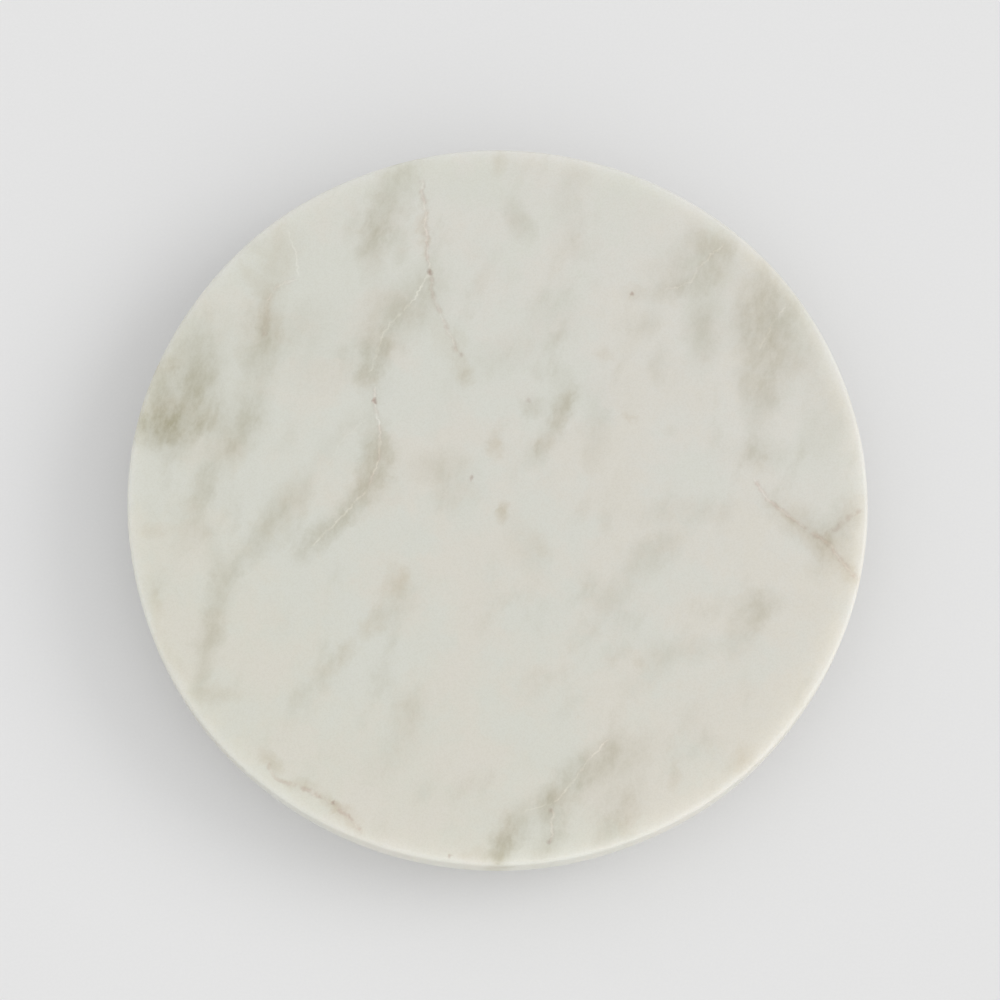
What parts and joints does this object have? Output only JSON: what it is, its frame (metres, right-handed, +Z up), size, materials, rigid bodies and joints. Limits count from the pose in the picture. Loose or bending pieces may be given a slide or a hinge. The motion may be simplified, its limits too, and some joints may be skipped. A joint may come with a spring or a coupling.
{
  "type": "lazy susan turntable",
  "caption": "Round marble serving plate that turns without end on a ring ball bearing above a smaller marble base with rubber feet.",
  "frame": {"origin": "on the table under the centre of the plate, on the turning axis", "axes": "+Z up along the turning axis; +X towards the ball filling plug"},
  "size_m": [0.3, 0.3, 0.039],
  "materials": {
    "plate_marble": "honed white marble with grey-olive clouds and thin pink-tan veins",
    "base_marble": "honed white marble",
    "insert_brass": "turned",
    "ring_aluminium": "turned, clear anodised",
    "screw_steel": "stainless",
    "plug_steel": "blackened",
    "retainer_nylon": "natural nylon",
    "ball_steel": "polished",
    "foot_rubber": "matte"
  },
  "bodies": {
    "base": {"marble_base": "base_marble", "bearing_inner_ring": "ring_aluminium", "base_screws": "screw_steel", "base_screw_washers": "screw_steel", "foot_1": "foot_rubber", "foot_2": "foot_rubber", "foot_3": "foot_rubber", "foot_4": "foot_rubber"},
    "turntable": {"marble_plate": "plate_marble", "plate_inserts": "insert_brass", "bearing_outer_ring": "ring_aluminium", "outer_ring_screws": "screw_steel", "ball_fill_plug": "plug_steel"},
    "retainer": {"ball_retainer": "retainer_nylon"},
    "ball_01": {"bearing_ball_01": "ball_steel"},
    "ball_02": {"bearing_ball_02": "ball_steel"},
    "ball_03": {"bearing_ball_03": "ball_steel"},
    "ball_04": {"bearing_ball_04": "ball_steel"},
    "ball_05": {"bearing_ball_05": "ball_steel"},
    "ball_06": {"bearing_ball_06": "ball_steel"},
    "ball_07": {"bearing_ball_07": "ball_steel"},
    "ball_08": {"bearing_ball_08": "ball_steel"},
    "ball_09": {"bearing_ball_09": "ball_steel"},
    "ball_10": {"bearing_ball_10": "ball_steel"},
    "ball_11": {"bearing_ball_11": "ball_steel"},
    "ball_12": {"bearing_ball_12": "ball_steel"},
    "ball_13": {"bearing_ball_13": "ball_steel"},
    "ball_14": {"bearing_ball_14": "ball_steel"},
    "ball_15": {"bearing_ball_15": "ball_steel"},
    "ball_16": {"bearing_ball_16": "ball_steel"},
    "ball_17": {"bearing_ball_17": "ball_steel"},
    "ball_18": {"bearing_ball_18": "ball_steel"},
    "ball_19": {"bearing_ball_19": "ball_steel"},
    "ball_20": {"bearing_ball_20": "ball_steel"},
    "ball_21": {"bearing_ball_21": "ball_steel"},
    "ball_22": {"bearing_ball_22": "ball_steel"},
    "ball_23": {"bearing_ball_23": "ball_steel"},
    "ball_24": {"bearing_ball_24": "ball_steel"}
  },
  "joints": [
    {"name": "plate_spin", "type": "hinge", "parent": "base", "child": "turntable", "pos_m": [0, 0, 0.0195], "axis": [0, 0, 1], "continuous": true},
    {"name": "retainer_spin", "type": "hinge", "parent": "base", "child": "retainer", "pos_m": [0, 0, 0.0195], "axis": [0, 0, 1], "continuous": true},
    {"name": "ball_01_roll", "type": "hinge", "parent": "retainer", "child": "ball_01", "pos_m": [0.058, 0, 0.0195], "axis": [-0.7071, 0, 0.7071], "continuous": true},
    {"name": "ball_02_roll", "type": "hinge", "parent": "retainer", "child": "ball_02", "pos_m": [0.05602, 0.01501, 0.0195], "axis": [-0.683, -0.183, 0.7071], "continuous": true},
    {"name": "ball_03_roll", "type": "hinge", "parent": "retainer", "child": "ball_03", "pos_m": [0.05023, 0.029, 0.0195], "axis": [-0.6124, -0.3536, 0.7071], "continuous": true},
    {"name": "ball_04_roll", "type": "hinge", "parent": "retainer", "child": "ball_04", "pos_m": [0.04101, 0.04101, 0.0195], "axis": [-0.5, -0.5, 0.7071], "continuous": true},
    {"name": "ball_05_roll", "type": "hinge", "parent": "retainer", "child": "ball_05", "pos_m": [0.029, 0.05023, 0.0195], "axis": [-0.3536, -0.6124, 0.7071], "continuous": true},
    {"name": "ball_06_roll", "type": "hinge", "parent": "retainer", "child": "ball_06", "pos_m": [0.01501, 0.05602, 0.0195], "axis": [-0.183, -0.683, 0.7071], "continuous": true},
    {"name": "ball_07_roll", "type": "hinge", "parent": "retainer", "child": "ball_07", "pos_m": [0, 0.058, 0.0195], "axis": [0, -0.7071, 0.7071], "continuous": true},
    {"name": "ball_08_roll", "type": "hinge", "parent": "retainer", "child": "ball_08", "pos_m": [-0.01501, 0.05602, 0.0195], "axis": [0.183, -0.683, 0.7071], "continuous": true},
    {"name": "ball_09_roll", "type": "hinge", "parent": "retainer", "child": "ball_09", "pos_m": [-0.029, 0.05023, 0.0195], "axis": [0.3536, -0.6124, 0.7071], "continuous": true},
    {"name": "ball_10_roll", "type": "hinge", "parent": "retainer", "child": "ball_10", "pos_m": [-0.04101, 0.04101, 0.0195], "axis": [0.5, -0.5, 0.7071], "continuous": true},
    {"name": "ball_11_roll", "type": "hinge", "parent": "retainer", "child": "ball_11", "pos_m": [-0.05023, 0.029, 0.0195], "axis": [0.6124, -0.3536, 0.7071], "continuous": true},
    {"name": "ball_12_roll", "type": "hinge", "parent": "retainer", "child": "ball_12", "pos_m": [-0.05602, 0.01501, 0.0195], "axis": [0.683, -0.183, 0.7071], "continuous": true},
    {"name": "ball_13_roll", "type": "hinge", "parent": "retainer", "child": "ball_13", "pos_m": [-0.058, 0, 0.0195], "axis": [0.7071, 0, 0.7071], "continuous": true},
    {"name": "ball_14_roll", "type": "hinge", "parent": "retainer", "child": "ball_14", "pos_m": [-0.05602, -0.01501, 0.0195], "axis": [0.683, 0.183, 0.7071], "continuous": true},
    {"name": "ball_15_roll", "type": "hinge", "parent": "retainer", "child": "ball_15", "pos_m": [-0.05023, -0.029, 0.0195], "axis": [0.6124, 0.3536, 0.7071], "continuous": true},
    {"name": "ball_16_roll", "type": "hinge", "parent": "retainer", "child": "ball_16", "pos_m": [-0.04101, -0.04101, 0.0195], "axis": [0.5, 0.5, 0.7071], "continuous": true},
    {"name": "ball_17_roll", "type": "hinge", "parent": "retainer", "child": "ball_17", "pos_m": [-0.029, -0.05023, 0.0195], "axis": [0.3536, 0.6124, 0.7071], "continuous": true},
    {"name": "ball_18_roll", "type": "hinge", "parent": "retainer", "child": "ball_18", "pos_m": [-0.01501, -0.05602, 0.0195], "axis": [0.183, 0.683, 0.7071], "continuous": true},
    {"name": "ball_19_roll", "type": "hinge", "parent": "retainer", "child": "ball_19", "pos_m": [0, -0.058, 0.0195], "axis": [0, 0.7071, 0.7071], "continuous": true},
    {"name": "ball_20_roll", "type": "hinge", "parent": "retainer", "child": "ball_20", "pos_m": [0.01501, -0.05602, 0.0195], "axis": [-0.183, 0.683, 0.7071], "continuous": true},
    {"name": "ball_21_roll", "type": "hinge", "parent": "retainer", "child": "ball_21", "pos_m": [0.029, -0.05023, 0.0195], "axis": [-0.3536, 0.6124, 0.7071], "continuous": true},
    {"name": "ball_22_roll", "type": "hinge", "parent": "retainer", "child": "ball_22", "pos_m": [0.04101, -0.04101, 0.0195], "axis": [-0.5, 0.5, 0.7071], "continuous": true},
    {"name": "ball_23_roll", "type": "hinge", "parent": "retainer", "child": "ball_23", "pos_m": [0.05023, -0.029, 0.0195], "axis": [-0.6124, 0.3536, 0.7071], "continuous": true},
    {"name": "ball_24_roll", "type": "hinge", "parent": "retainer", "child": "ball_24", "pos_m": [0.05602, -0.01501, 0.0195], "axis": [-0.683, 0.183, 0.7071], "continuous": true}
  ],
  "couplings": [
    {"joint": "retainer_spin", "follows": "plate_spin", "ratio": 0.51219},
    {"joint": "ball_01_roll", "follows": "plate_spin", "ratio": 14.491},
    {"joint": "ball_02_roll", "follows": "plate_spin", "ratio": 14.491},
    {"joint": "ball_03_roll", "follows": "plate_spin", "ratio": 14.491},
    {"joint": "ball_04_roll", "follows": "plate_spin", "ratio": 14.491},
    {"joint": "ball_05_roll", "follows": "plate_spin", "ratio": 14.491},
    {"joint": "ball_06_roll", "follows": "plate_spin", "ratio": 14.491},
    {"joint": "ball_07_roll", "follows": "plate_spin", "ratio": 14.491},
    {"joint": "ball_08_roll", "follows": "plate_spin", "ratio": 14.491},
    {"joint": "ball_09_roll", "follows": "plate_spin", "ratio": 14.491},
    {"joint": "ball_10_roll", "follows": "plate_spin", "ratio": 14.491},
    {"joint": "ball_11_roll", "follows": "plate_spin", "ratio": 14.491},
    {"joint": "ball_12_roll", "follows": "plate_spin", "ratio": 14.491},
    {"joint": "ball_13_roll", "follows": "plate_spin", "ratio": 14.491},
    {"joint": "ball_14_roll", "follows": "plate_spin", "ratio": 14.491},
    {"joint": "ball_15_roll", "follows": "plate_spin", "ratio": 14.491},
    {"joint": "ball_16_roll", "follows": "plate_spin", "ratio": 14.491},
    {"joint": "ball_17_roll", "follows": "plate_spin", "ratio": 14.491},
    {"joint": "ball_18_roll", "follows": "plate_spin", "ratio": 14.491},
    {"joint": "ball_19_roll", "follows": "plate_spin", "ratio": 14.491},
    {"joint": "ball_20_roll", "follows": "plate_spin", "ratio": 14.491},
    {"joint": "ball_21_roll", "follows": "plate_spin", "ratio": 14.491},
    {"joint": "ball_22_roll", "follows": "plate_spin", "ratio": 14.491},
    {"joint": "ball_23_roll", "follows": "plate_spin", "ratio": 14.491},
    {"joint": "ball_24_roll", "follows": "plate_spin", "ratio": 14.491}
  ]
}
